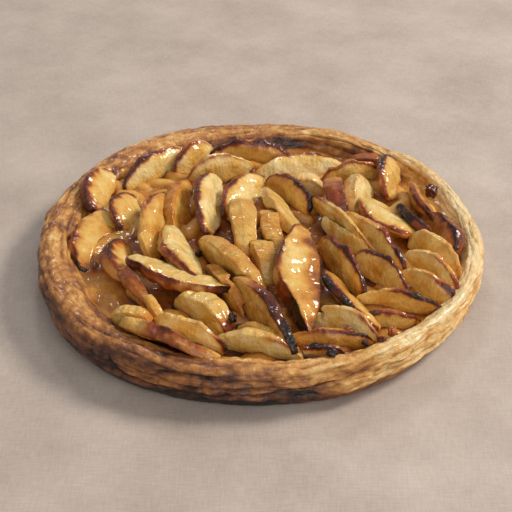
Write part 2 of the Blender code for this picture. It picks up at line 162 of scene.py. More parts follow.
# Each slice: its two tips in millimetres, lean, depth and wedge angle as in the solids. Then how
# far it is burnt at five places from tip one to tip two, how dark its outer strip is, how far the
# burn reaches into the cut face in millimetres, and its tone from pale (0) to soaked brown (1).
SLICES = (
    ((-102, 26, 21), (-108, -34, 18), -70, 26, 17, (0.55, 0.35, 0.45, 0.90, 1.30), 0.8, 5.0, 0.30),
    ((-103, 68, 26), (-111, 28, 24), -55, 22, 20, (0.50, 0.60, 0.60, 0.60, 0.80), 0.9, 5.0, 0.35),
    ((-91, 59, 19), (-52, 97, 23), 18, 28, 18, (1.00, 0.70, 0.55, 0.50, 0.45), 0.8, 3.0, 0.20),
    ((-80, 10, 17), (-99, -30, 16), -82, 26, 15, (0.10, 0.15, 0.20, 0.20, 0.10), 0.5, 3.0, 0.50),
    ((-50, 66, 21), (-6, 81, 23), 10, 27, 17, (0.60, 0.55, 0.35, 0.25, 0.20), 0.6, 3.0, 0.25),
    ((-58, 77, 23), (-33, 100, 24), 15, 26, 17, (0.60, 0.55, 0.50, 0.40, 0.40), 0.7, 3.0, 0.25),
    ((-36, 96, 20), (22, 96, 20), 5, 30, 19, (1.10, 1.10, 0.85, 0.70, 0.65), 1.0, 4.0, 0.35),
    ((-3, 76, 21), (62, 79, 21), 50, 26, 17, (0.45, 0.60, 0.70, 0.70, 0.60), 0.8, 3.0, 0.20),
    ((-84, 42, 24), (-89, 12, 22), -50, 26, 18, (0.60, 0.85, 0.60, 0.80, 1.05), 0.9, 3.5, 0.25),
    ((-49, 60, 22), (-54, 3, 22), -35, 26, 18, (0.40, 0.35, 0.30, 0.35, 0.25), 0.7, 5.0, 0.60),
    ((-62, 40, 26), (-69, -25, 24), -40, 27, 20, (0.85, 0.80, 0.45, 0.15, 0.10), 0.8, 3.5, 0.40),
    ((-22, 20, 25), (3, 61, 25), 50, 26, 17, (0.70, 0.75, 0.65, 0.45, 0.30), 0.8, 3.0, 0.15),
    ((-30, 62, 28), (-34, -4, 27), -50, 27, 18, (0.55, 0.75, 0.70, 0.75, 0.60), 0.8, 3.5, 0.05),
    ((42, 64, 21), (82, 74, 21), 10, 25, 16, (0.35, 0.45, 0.50, 0.45, 0.50), 0.6, 2.5, 0.30),
    ((62, 86, 22), (84, 86, 22), 0, 17, 22, (0.50, 0.50, 0.50, 0.50, 0.50), 0.8, 6.0, 0.90),
    ((84, 46, 24), (94, 84, 26), 35, 25, 18, (0.50, 0.70, 0.80, 0.85, 0.90), 0.9, 2.5, 0.25),
    ((102, 54, 24), (114, 6, 23), -30, 25, 16, (0.35, 0.40, 0.70, 1.05, 1.10), 1.0, 3.0, 0.50),
    ((20, 55, 22), (42, 53, 22), 0, 21, 24, (0.15, 0.20, 0.20, 0.20, 0.15), 0.5, 3.0, 0.20),
    ((5, 46, 27), (25, -6, 26), -55, 22, 20, (0.30, 0.20, 0.15, 0.15, 0.15), 0.6, 3.0, 0.30),
    ((6, 60, 25), (33, 27, 25), 25, 22, 20, (0.85, 0.90, 0.90, 0.95, 1.00), 1.0, 2.5, 0.50),
    ((49, 50, 31), (52, 12, 24), -10, 25, 30, (0.50, 0.45, 0.50, 0.65, 1.00), 0.9, 3.0, 0.45),
    ((71, 55, 25), (62, 24, 25), -35, 26, 24, (0.50, 0.30, 0.30, 0.30, 0.30), 0.5, 3.0, 0.15),
    ((68, 31, 28), (94, -4, 26), -70, 30, 20, (0.30, 0.35, 0.50, 0.55, 0.65), 0.8, 3.0, 0.15),
    ((92, 26, 26), (106, -4, 25), -40, 19, 16, (0.90, 1.00, 1.05, 1.05, 1.05), 1.0, 6.0, 0.80),
    ((108, 20, 22), (121, -24, 21), 40, 25, 22, (0.60, 0.70, 0.85, 0.95, 0.90), 0.8, 5.0, 0.75),
    ((96, -6, 24), (120, -43, 22), 15, 25, 18, (0.10, 0.10, 0.10, 0.15, 0.20), 0.6, 3.0, 0.30),
    ((92, -22, 21), (117, -60, 21), 8, 26, 18, (0.05, 0.12, 0.30, 0.50, 0.85), 0.8, 2.2, 0.25),
    ((82, -47, 22), (113, -69, 21), 12, 24, 17, (0.05, 0.10, 0.30, 0.60, 0.95), 0.9, 2.2, 0.30),
    ((43, 12, 27), (68, -36, 26), 15, 24, 14, (0.15, 0.30, 0.45, 0.75, 1.00), 0.8, 2.0, 0.20),
    ((50, 8, 29), (87, -43, 27), 12, 26, 19, (0.15, 0.25, 0.35, 0.60, 1.00), 0.8, 2.5, 0.30),
    ((34, 28, 32), (74, -36, 26), -8, 22, 14, (0.95, 0.35, 0.25, 0.30, 0.40), 0.7, 2.5, 0.35),
    ((60, -28, 25), (86, -64, 24), 15, 24, 14, (0.55, 0.60, 0.80, 0.85, 0.80), 0.9, 2.2, 0.30),
    ((38, -15, 27), (61, -63, 25), 15, 24, 15, (0.40, 0.50, 0.60, 0.80, 0.95), 0.9, 3.0, 0.40),
    ((14, -115, 18), (46, -112, 18), -5, 19, 18, (0.20, 0.50, 1.00, 1.05, 0.80), 1.0, 3.0, 0.35),
    ((18, -103, 19), (66, -105, 19), 5, 22, 15, (0.20, 0.30, 0.60, 0.70, 1.05), 0.9, 3.0, 0.35),
    ((30, -84, 22), (66, -105, 21), 12, 26, 15, (0.08, 0.10, 0.15, 0.45, 0.85), 0.8, 2.5, 0.20),
    ((54, -86, 19), (92, -88, 19), -5, 22, 16, (0.30, 0.70, 0.50, 0.70, 0.80), 0.8, 2.5, 0.35),
    ((56, -68, 21), (106, -77, 21), -5, 24, 16, (0.05, 0.15, 0.60, 0.90, 1.10), 0.9, 2.2, 0.30),
    ((38, -48, 28), (64, -96, 25), -50, 23, 18, (0.85, 1.00, 1.10, 1.00, 0.75), 1.0, 2.5, 0.40),
    ((-13, 28, 26), (-10, -25, 27), 2, 26, 36, (0.10, 0.15, 0.15, 0.15, 0.10), 0.6, 3.0, 0.40),
    ((5, 18, 25), (9, -32, 26), 0, 24, 28, (0.10, 0.12, 0.12, 0.12, 0.10), 0.6, 3.0, 0.40),
    ((-2, -20, 26), (5, -52, 25), 0, 24, 30, (0.10, 0.12, 0.12, 0.12, 0.10), 0.6, 3.0, 0.40),
    ((-31, -37, 22), (-9, -81, 21), 0, 24, 18, (0.20, 0.20, 0.20, 0.20, 0.30), 0.6, 3.0, 0.45),
    ((-34, -15, 28), (0, -70, 27), 0, 26, 22, (0.35, 0.25, 0.20, 0.20, 0.20), 0.6, 3.0, 0.40),
    ((-12, -97, 22), (14, -113, 22), 5, 21, 16, (0.20, 0.20, 0.20, 0.25, 0.30), 0.6, 3.0, 0.35),
    ((-9, -77, 23), (14, -111, 22), 15, 24, 18, (0.30, 0.30, 0.30, 0.30, 0.30), 0.6, 3.0, 0.60),
    ((-25, -103, 20), (22, -117, 21), 0, 24, 17, (0.10, 0.10, 0.15, 0.35, 0.40), 0.7, 3.0, 0.25),
    ((-88, -12, 24), (-84, -46, 23), -45, 24, 20, (0.65, 0.70, 0.70, 0.65, 0.55), 0.75, 7.0, 0.25),
    ((-77, -58, 20), (-57, -86, 20), 0, 19, 16, (0.10, 0.10, 0.10, 0.10, 0.10), 0.6, 3.0, 0.35),
    ((-84, -83, 22), (-62, -90, 23), 0, 18, 22, (0.15, 0.15, 0.15, 0.20, 0.25), 0.7, 3.0, 0.35),
    ((-82, -43, 24), (-64, -73, 23), -30, 22, 22, (0.75, 0.65, 0.45, 0.40, 0.50), 0.7, 3.0, 0.50),
    ((-46, -66, 20), (-17, -95, 21), 5, 26, 28, (0.10, 0.08, 0.10, 0.12, 0.80), 0.7, 2.5, 0.25),
    ((-60, -88, 22), (-20, -111, 23), 5, 22, 18, (0.05, 0.10, 0.15, 0.30, 1.25), 0.8, 3.0, 0.25),
    ((-79, -91, 25), (-24, -120, 25), -40, 22, 20, (0.02, 0.10, 0.80, 0.40, 0.06), 1.2, 5.0, 0.30),
    ((-59, -2, 29), (-38, -54, 29), -60, 26, 22, (0.30, 0.40, 0.55, 0.65, 0.70), 0.8, 2.5, 0.10),
    ((-79, -38, 30), (-19, -68, 31), -80, 22, 19, (0.65, 0.65, 0.60, 0.70, 1.10), 0.9, 2.2, 0.18),
    ((-15, -58, 30), (19, -117, 27), 0, 25, 15, (0.25, 0.40, 0.85, 0.80, 1.10), 0.9, 2.5, 0.35),
    ((23, -20, 41), (26, -102, 26), -80, 30, 24, (0.55, 0.60, 0.70, 0.95, 1.15), 0.95, 3.5, 0.28),
)

# Burnt bits of apple: place in millimetres, radius, how far it is burnt
BITS = (
    ((-16, -90, 27), 2.6, 1.0), ((-20, -93, 25), 2.2, 0.9), ((-12, -95, 25), 2.0, 1.0),
    ((-18, -86, 27), 1.7, 0.8), ((-15, -97, 24), 1.6, 0.7), ((39, -122, 29), 2.6, 1.05),
    ((49, -101, 27), 2.4, 0.5), ((68, -108, 26), 2.2, 0.6), ((114, 43, 28), 3.8, 0.7),
    ((74, -100, 26), 2.6, 0.35), ((-38, -20, 22), 2.2, 0.9), ((87, -62, 28), 1.6, 0.7),
    ((121, -20, 27), 1.8, 0.9), ((58, -110, 26), 1.8, 0.95),
)

# Camera at the photo's viewing angle: target and distance in metres, elevation in degrees
CAMERA_TARGET = (-0.0025, -0.0127, 0.015)
CAMERA_DISTANCE = 0.7
CAMERA_ELEVATION = 35.84
LENS = 78.1
SENSOR_WIDTH = 36.0
TABLE_SIZE = 6.0


def colour(code):
    """The linear RGBA of an sRGB hex code."""
    parts = [int(code[start:start + 2], 16) / 255.0 for start in (0, 2, 4)]
    linear = [p / 12.92 if p <= 0.04045 else ((p + 0.055) / 1.055) ** 2.4 for p in parts]
    return (*linear, 1.0)


def join(tree, node, links):
    """Links sockets, or the first outputs of nodes, to a node's inputs."""
    for name, source in links.items():
        socket = source.outputs[0] if isinstance(source, bpy.types.Node) else source
        tree.links.new(socket, node.inputs[name])


def add_node(tree, kind, settings=None, values=None, links=None):
    """Adds a shader node, sets its properties and sockets, and links other nodes or sockets to its inputs."""
    node = tree.nodes.new(kind)
    for name, value in (settings or {}).items():
        setattr(node, name, value)
    for name, value in (values or {}).items():
        node.inputs[name].default_value = value
    join(tree, node, links or {})
    return node


def set_ramp(node, stops):
    """Sets the stops of a colour ramp from pairs of place and hex code."""
    ramp = node.color_ramp
    while len(ramp.elements) > 1:
        ramp.elements.remove(ramp.elements[-1])
    for number, (place, code) in enumerate(stops):
        stop = ramp.elements[0] if number == 0 else ramp.elements.new(place)
        stop.position = place
        stop.color = colour(code)


def new_material(name, finish):
    """A node material and its tree, with a Principled shader whose own sockets have the finish's values."""
    material = bpy.data.materials.new(name)
    material.use_nodes = True
    tree = material.node_tree
    shader = tree.nodes["Principled BSDF"]
    for socket, value in finish.items():
        shader.inputs[socket].default_value = value
    return material, tree, shader


# Noise on a lattice, worked out for whole arrays of points at once

def lattice(cells, seed):
    """Fixed random values for whole-number cells, each cell a column of an array."""
    mixed = np.full(cells.shape[1:], seed * 374761393 + 668265263, dtype=np.int64)
    for axis, factor in enumerate((1597334677, 3812015801, 958282633)[:cells.shape[0]]):
        mixed = (mixed ^ (cells[axis].astype(np.int64) * factor)) & 0xFFFFFFFF
        mixed = (mixed * 2246822519 + 3266489917) & 0xFFFFFFFF
        mixed ^= mixed >> 15
    mixed = (mixed * 2654435761) & 0xFFFFFFFF
    mixed ^= mixed >> 13
    return (mixed & 0xFFFFFF) / float(0xFFFFFF)


def noise(points, seed=0, turns=None):
    """Smooth noise from -1 to 1 at points, one row per axis. The first axis may repeat after turns."""
    points = np.asarray(points, dtype=float)
    low = np.floor(points).astype(np.int64)
    part = points - low
    part = part * part * (3.0 - 2.0 * part)
    total = np.zeros(points.shape[1:])
    for corner in range(2 ** points.shape[0]):
        cell = low.copy()
        share = np.ones(points.shape[1:])
        for axis in range(points.shape[0]):
            upper = (corner >> axis) & 1
            cell[axis] += upper
            share = share * (part[axis] if upper else 1.0 - part[axis])
        if turns:
            cell[0] %= turns
        total += share * lattice(cell, seed)
    return total * 2.0 - 1.0


def smooth_step(low, high, value):
    """0 below low, 1 above high and a soft curve between."""
    part = np.clip((value - low) / (high - low), 0.0, 1.0)
    return part * part * (3.0 - 2.0 * part)


# Meshes in and out of arrays

def coordinates(mesh):
    """The vertices of a mesh in millimetres, as an array with one row per vertex."""
    places = np.zeros(len(mesh.vertices) * 3)
    mesh.vertices.foreach_get("co", places)
    return places.reshape(-1, 3) / MM


def normals(mesh):
    """The vertex normals of a mesh, one row per vertex."""
    ways = np.zeros(len(mesh.vertices) * 3)
    mesh.vertices.foreach_get("normal", ways)
    return ways.reshape(-1, 3)


def move_to(mesh, places):
    """Moves the vertices of a mesh to places in millimetres."""
    mesh.vertices.foreach_set("co", (places * MM).ravel())
    mesh.update()


def store(mesh, name, values):
    """Keeps a number for each vertex, for a material to read."""
    layer = mesh.attributes.new(name, "FLOAT", "POINT")
    layer.data.foreach_set("value", np.asarray(values, dtype=np.float32))


def deselect_all():
    """Leaves edit mode and deselects every object."""
    if bpy.context.object and bpy.context.object.mode != "OBJECT":
        bpy.ops.object.mode_set(mode="OBJECT")
    bpy.ops.object.select_all(action="DESELECT")


def select_only(thing):
    """Makes one object selected and active."""
    deselect_all()
    thing.select_set(True)
    bpy.context.view_layer.objects.active = thing


def add_modifier(thing, kind, **settings):
    """Adds a modifier to an object, sets it and applies it."""
    select_only(thing)
    change = thing.modifiers.new(kind.title(), kind)
    for name, value in settings.items():
        setattr(change, name, value)
    bpy.ops.object.modifier_apply(modifier=change.name)


def by_bearing(values, angle):
    """Values spaced evenly round the tart, counted from +X towards +Y, read at an array of bearings."""
    values = np.asarray(values)
    place = (np.asarray(angle) / TURN * len(values)) % len(values)
    low = np.floor(place).astype(int) % len(values)
    ease = 0.5 - 0.5 * np.cos(np.pi * (place - np.floor(place)))
    return values[low] * (1.0 - ease) + values[(low + 1) % len(values)] * ease


def bell(value, reach):
    """1 at zero, falling off to both sides by a reach."""
    return np.exp(-(value / reach) ** 2)


def facing(degrees, bearing, reach, past_zero=False):
    """1 at a bearing, falling off to both sides by a reach in degrees, and on round past zero if asked."""
    away = degrees - bearing
    if past_zero:
        away = (away + 180.0) % 360.0 - 180.0
    return bell(away, reach)


def scorch_mark(degrees, place, mark):
    """1 in the middle of a burnt mark, falling off round it."""
    bearing, reach, middle, spread = mark
    return np.exp(-(((degrees - bearing) / reach) ** 2) - ((place - middle) / spread) ** 2)


def outline_radius(angle):
    """Outer radius of the tart at a bearing."""
    return OUTER_RADIUS + sum(size * np.sin(count * angle + start) for count, size, start in OUTLINE_WAVES)


def outline_middle():
    """Middle of the outline's own bounding box, which is the middle of the model."""
    angles = TURN * np.arange(CAD_SEGMENTS) / CAD_SEGMENTS
    across = outline_radius(angles) * np.cos(angles)
    along = outline_radius(angles) * np.sin(angles)
    return (across.min() + across.max()) / 2.0, (along.min() + along.max()) / 2.0


def grid_sheet(name, columns, rows):
    """A fine sheet of columns times rows vertices, its vertices in row order."""
    deselect_all()
    bpy.ops.mesh.primitive_grid_add(x_subdivisions=columns - 1, y_subdivisions=rows - 1, size=1.0)
    thing = bpy.context.object
    thing.name = name
    thing.data.name = name
    return thing


def close_seams(thing):
    """Joins the ends of a rolled-up sheet, closes its poles and turns its faces outwards."""
    select_only(thing)
    bpy.ops.object.mode_set(mode="EDIT")
    bpy.ops.mesh.select_all(action="SELECT")
    bpy.ops.mesh.remove_doubles(threshold=1e-6)
    bpy.ops.mesh.normals_make_consistent(inside=False)
    bpy.ops.object.mode_set(mode="OBJECT")
    bpy.ops.object.shade_smooth()
    thing.location = (0.0, 0.0, 0.0)


# Materials

def baked_pastry_material(look):
    """Puff pastry: butter layers baked brown, with a thin egg wash.

    To the eye: matt tan to brown leaves, darker low on the wall, with painted shade in the cracks and painted
    light that makes the right paler, glossy on top.
    """
    material, tree, shader = new_material("egg_washed_puff_pastry", {
        "IOR": 1.45, "Subsurface Weight": 0.08, "Subsurface Radius": (1.0, 0.5, 0.2),
        "Subsurface Scale": 0.002, "Coat Weight": 0.4, "Coat Roughness": 0.18})
    place = add_node(tree, "ShaderNodeTexCoord").outputs["Object"]
    # Browning, which also holds painted shade and painted light, and the egg wash, from the case's vertices
    bake, wash = [add_node(tree, "ShaderNodeAttribute", {"attribute_name": name}).outputs["Fac"]
                  for name in ("bake", "wash")]
    # Blisters and crumbs of 4 mm, toasted patches of 17 mm and flakes of 1.6 mm
    blister, toast, flakes = [
        add_node(tree, "ShaderNodeTexNoise", values={"Scale": scale, "Detail": detail, "Roughness": grain},
                 links={"Vector": place})
        for scale, detail, grain in ((260.0, 5.0, 0.65), (60.0, 4.0, 0.6), (620.0, 4.0, 0.7))]
    # Thin leaves lie flat, about 1 mm apart, so the pattern is squeezed along Z
    leaf_space = add_node(tree, "ShaderNodeMapping", values={"Scale": (110.0, 110.0, 900.0)},
                          links={"Vector": place})
    leaves = add_node(tree, "ShaderNodeTexNoise", values={"Scale": 1.0, "Detail": 4.0, "Roughness": 0.6,
                      "Distortion": 0.6}, links={"Vector": leaf_space})
    # Each pattern browns and pales the pastry by a share of its own
    mottle, streak, speckle = [
        add_node(tree, "ShaderNodeMath", {"operation": "MULTIPLY_ADD"}, {1: share, 2: -0.5 * share},
                 {0: pattern})
        for pattern, share in ((toast, look.pastry_mottle), (leaves, 0.16), (blister, 0.50))]
    both = add_node(tree, "ShaderNodeMath", {"operation": "ADD"}, links={0: mottle, 1: streak})
    both = add_node(tree, "ShaderNodeMath", {"operation": "ADD"}, links={0: both, 1: speckle})
    shade = add_node(tree, "ShaderNodeMath", {"operation": "ADD", "use_clamp": True},
                     links={0: both, 1: bake})
    ramp = add_node(tree, "ShaderNodeValToRGB", links={"Fac": shade})
    set_ramp(ramp, ((0.0, "F6DFAC"), (0.2, "E8BC74"), (0.38, "CE9248"), (0.55, "A16733"), (0.72, "6F4023"),
                    (0.88, "3E1F10"), (1.0, "190C07")))
    gloss = add_node(tree, "ShaderNodeMapRange", values={"To Min": 0.66, "To Max": 0.22},
                     links={"Value": wash})
    bump = add_node(tree, "ShaderNodeBump", values={"Strength": 0.6, "Distance": 0.0006},
                    links={"Height": leaves})
    for height, strength, distance in ((blister, 1.0, 0.0014), (flakes, 0.9, 0.0009)):
        bump = add_node(tree, "ShaderNodeBump", values={"Strength": strength, "Distance": distance},
                        links={"Height": height, "Normal": bump})
    join(tree, shader, {"Base Color": ramp, "Roughness": gloss, "Normal": bump})
    return material


def baked_apple_material(look):
    """Apple baked in syrup: wet translucent flesh with caramelised and burnt edges.

    To the eye: honey yellow with fine fibres across the slice, then brown, maroon and black on the ridge,
    all under a wet glaze that catches small sharp highlights.
    """
    material, tree, shader = new_material("glazed_baked_apple", {
        "IOR": 1.42, "Specular IOR Level": 0.3, "Subsurface Weight": look.flesh_glow,
        "Subsurface Radius": (1.0, 0.5, 0.14), "Subsurface Scale": 0.003, "Coat Weight": look.glaze,
        "Coat Roughness": 0.08, "Coat IOR": 1.45})
    burn, tone = [add_node(tree, "ShaderNodeAttribute", {"attribute_name": name}).outputs["Fac"]
                  for name in ("burn", "tone")]
    place = add_node(tree, "ShaderNodeTexCoord").outputs["Object"]
    slice_uv = add_node(tree, "ShaderNodeTexCoord").outputs["UV"]
    # The UV map is in millimetres: fibres are 1 mm apart and 8 mm long from core to skin
    fibre_space = add_node(tree, "ShaderNodeMapping", values={"Scale": (0.9, 0.13, 1.0)},
                           links={"Vector": slice_uv})
    fibres = add_node(tree, "ShaderNodeTexNoise", values={"Scale": 1.0, "Detail": 4.0, "Roughness": 0.65,
                      "Distortion": 0.9}, links={"Vector": fibre_space})
    # Clouds of 8 mm in the flesh, and a wet skin that is uneven by about 3 mm
    cloud, wet = [
        add_node(tree, "ShaderNodeTexNoise", values={"Scale": scale, "Detail": detail, "Roughness": 0.6},
                 links={"Vector": place})
        for scale, detail in ((130.0, 4.0), (380.0, 3.0))]
    cloudy, threads, ragged = [
        add_node(tree, "ShaderNodeMath", {"operation": "MULTIPLY_ADD"}, {1: share, 2: -0.5 * share},
                 {0: pattern})
        for pattern, share in ((cloud, 0.7), (fibres, 0.34), (wet, 0.5))]
    flesh_tone = add_node(tree, "ShaderNodeMath", {"operation": "ADD"}, links={0: cloudy, 1: threads})
    flesh_tone = add_node(tree, "ShaderNodeMath", {"operation": "ADD", "use_clamp": True},
                          links={0: flesh_tone, 1: tone})
    flesh = add_node(tree, "ShaderNodeValToRGB", links={"Fac": flesh_tone})
    set_ramp(flesh, ((0.0, "F0DA9C"), (0.28, "E2BA64"), (0.55, "CD9036"), (0.78, "A4601E"), (1.0, "6A3412")))
    ragged = add_node(tree, "ShaderNodeMath", {"operation": "MULTIPLY"}, links={0: ragged, 1: burn})
    charred = add_node(tree, "ShaderNodeMath", {"operation": "ADD", "use_clamp": True},
                       links={0: ragged, 1: burn})
    crust = add_node(tree, "ShaderNodeValToRGB", links={"Fac": charred})
    set_ramp(crust, ((0.0, "D8953A"), (0.18, "BC6E24"), (0.36, "8E3F15"), (0.55, "5E240F"), (0.72, "35130B"),
                     (0.88, "1C0A07"), (1.0, "0E0504")))
    cover = add_node(tree, "ShaderNodeMapRange", {"interpolation_type": "SMOOTHSTEP"},
                     {"From Min": 0.0, "From Max": 0.36}, {"Value": charred})
    mixed = add_node(tree, "ShaderNodeMix", {"data_type": "RGBA"}, links={"Factor": cover})
    one, two = [socket for socket in mixed.inputs if socket.type == "RGBA"]
    tree.links.new(flesh.outputs["Color"], one)
    tree.links.new(crust.outputs["Color"], two)
    out = [socket for socket in mixed.outputs if socket.type == "RGBA"][0]
    dull = add_node(tree, "ShaderNodeMapRange", values={"To Min": 0.42, "To Max": 0.52},
                    links={"Value": charred})
    bump = add_node(tree, "ShaderNodeBump", values={"Strength": 0.6, "Distance": 0.0008},
                    links={"Height": fibres})
    bump = add_node(tree, "ShaderNodeBump", values={"Strength": 1.0, "Distance": 0.0013},
                    links={"Height": wet, "Normal": bump})
    join(tree, shader, {"Base Color": out, "Roughness": dull, "Normal": bump})
    return material


def custard_material():
    """Custard set in the oven under apple syrup: smooth, milky and glossy, browner where syrup pools, and
    with painted shade next to and between the slices.
    """
    material, tree, shader = new_material("syrupy_baked_custard", {
        "Roughness": 0.42, "IOR": 1.42, "Specular IOR Level": 0.25, "Subsurface Weight": 0.35,
        "Subsurface Radius": (1.0, 0.5, 0.18), "Subsurface Scale": 0.003, "Coat Weight": 0.4,
        "Coat Roughness": 0.12})
    place = add_node(tree, "ShaderNodeTexCoord").outputs["Object"]
    tone = add_node(tree, "ShaderNodeAttribute", {"attribute_name": "tone"}).outputs["Fac"]
    # Clouds of 11 mm and ripples of 4 mm
    cloud, ripple = [
        add_node(tree, "ShaderNodeTexNoise", values={"Scale": scale, "Detail": 4.0},
                 links={"Vector": place})
        for scale in (90.0, 260.0)]
    cloudy = add_node(tree, "ShaderNodeMath", {"operation": "MULTIPLY_ADD"}, {1: 0.5, 2: -0.25}, {0: cloud})
    shade = add_node(tree, "ShaderNodeMath", {"operation": "ADD", "use_clamp": True},
                     links={0: cloudy, 1: tone})
    ramp = add_node(tree, "ShaderNodeValToRGB", links={"Fac": shade})
    set_ramp(ramp, ((0.0, "E2B766"), (0.3, "C98F3E"), (0.6, "97561D"), (0.85, "5C280C"), (1.0, "351506")))
    bump = add_node(tree, "ShaderNodeBump", values={"Strength": 0.8, "Distance": 0.0014},
                    links={"Height": ripple})
    join(tree, shader, {"Base Color": ramp, "Normal": bump})
    return material


def table_material():
    """Table top painted with chalky off-white, worn smooth: matt, with faint crossed brush marks."""
    material, tree, shader = new_material("chalk_painted_table", {"Roughness": 0.7})
    place = add_node(tree, "ShaderNodeTexCoord").outputs["Object"]
    # Clouds of about 70 mm, a fine tooth of 1.4 mm and crossed brush marks 1 mm wide
    cloud = add_node(tree, "ShaderNodeTexNoise", values={"Scale": 14.0, "Detail": 6.0, "Roughness": 0.6},
                     links={"Vector": place})
    tooth = add_node(tree, "ShaderNodeTexNoise", values={"Scale": 700.0, "Detail": 2.0},
                     links={"Vector": place})
    weave = []
    for size in ((900.0, 120.0, 1.0), (120.0, 900.0, 1.0)):
        space = add_node(tree, "ShaderNodeMapping", values={"Scale": size}, links={"Vector": place})
        weave.append(add_node(tree, "ShaderNodeTexNoise", values={"Scale": 1.0, "Detail": 2.0},
                              links={"Vector": space}))
    both = add_node(tree, "ShaderNodeMath", {"operation": "ADD"}, links={0: weave[0], 1: weave[1]})
    marks = add_node(tree, "ShaderNodeMath", {"operation": "MULTIPLY_ADD"}, {1: 0.35, 2: -0.35},
                     {0: both})
    shade = add_node(tree, "ShaderNodeMath", {"operation": "ADD", "use_clamp": True},
                     links={0: marks, 1: cloud})
    ramp = add_node(tree, "ShaderNodeValToRGB", links={"Fac": shade})
    set_ramp(ramp, ((0.25, "A99D95"), (0.75, "C8BDB5")))
    bump = add_node(tree, "ShaderNodeBump", values={"Strength": 0.2, "Distance": 0.0003},
                    links={"Height": tooth})
    join(tree, shader, {"Base Color": ramp, "Normal": bump})
    return material


# Pieces

def case_section(angle):
    """Fine section of the case at each bearing: inset from the outline and height, row by row."""
    height = by_bearing(RIM_HEIGHTS, angle)
    width = by_bearing(RIM_WIDTHS, angle)
    zero = np.zeros_like(angle)
    corners = [
        (zero + BASE_INSET, zero), (zero + FOOT_INSET, zero + FOOT_HEIGHT),
        (zero + BAND_INSET, zero + BAND_MIDDLE), (zero + BAND_TOP_INSET, zero + BAND_TOP),
        (zero + BELLY_INSET, zero + BELLY_HEIGHT), (zero + UPPER_INSET, height - UPPER_DROP),
        (zero + SHOULDER_INSET, height - SHOULDER_DROP),
    ]
    corners += [(share * width, height - drop) for share, drop in RIM_SECTION]
    corners.append((width + WALL_MIDDLE_INSET, (height + FLOOR_TOP) / 2.0))
    corners.append((width + WALL_FOOT_INSET, zero + FLOOR_TOP))
    insets, heights = [], []
    for number, count in enumerate(SECTION_STEPS):
        before = corners[max(number - 1, 0)]
        one, two = corners[number], corners[number + 1]
        after = corners[min(number + 2, len(corners) - 1)]
        for step in range(count):
            part = step / count
            for kept, axis in ((insets, 0), (heights, 1)):
                a, b, c, d = before[axis], one[axis], two[axis], after[axis]
                curve = 0.5 * (2.0 * b + (c - a) * part + (2.0 * a - 5.0 * b + 4.0 * c - d) * part ** 2
                               + (3.0 * b - a - 3.0 * c + d) * part ** 3)
                kept.append(curve)
    insets.append(corners[-1][0])
    heights.append(corners[-1][1])
    return np.array(insets), np.array(heights)


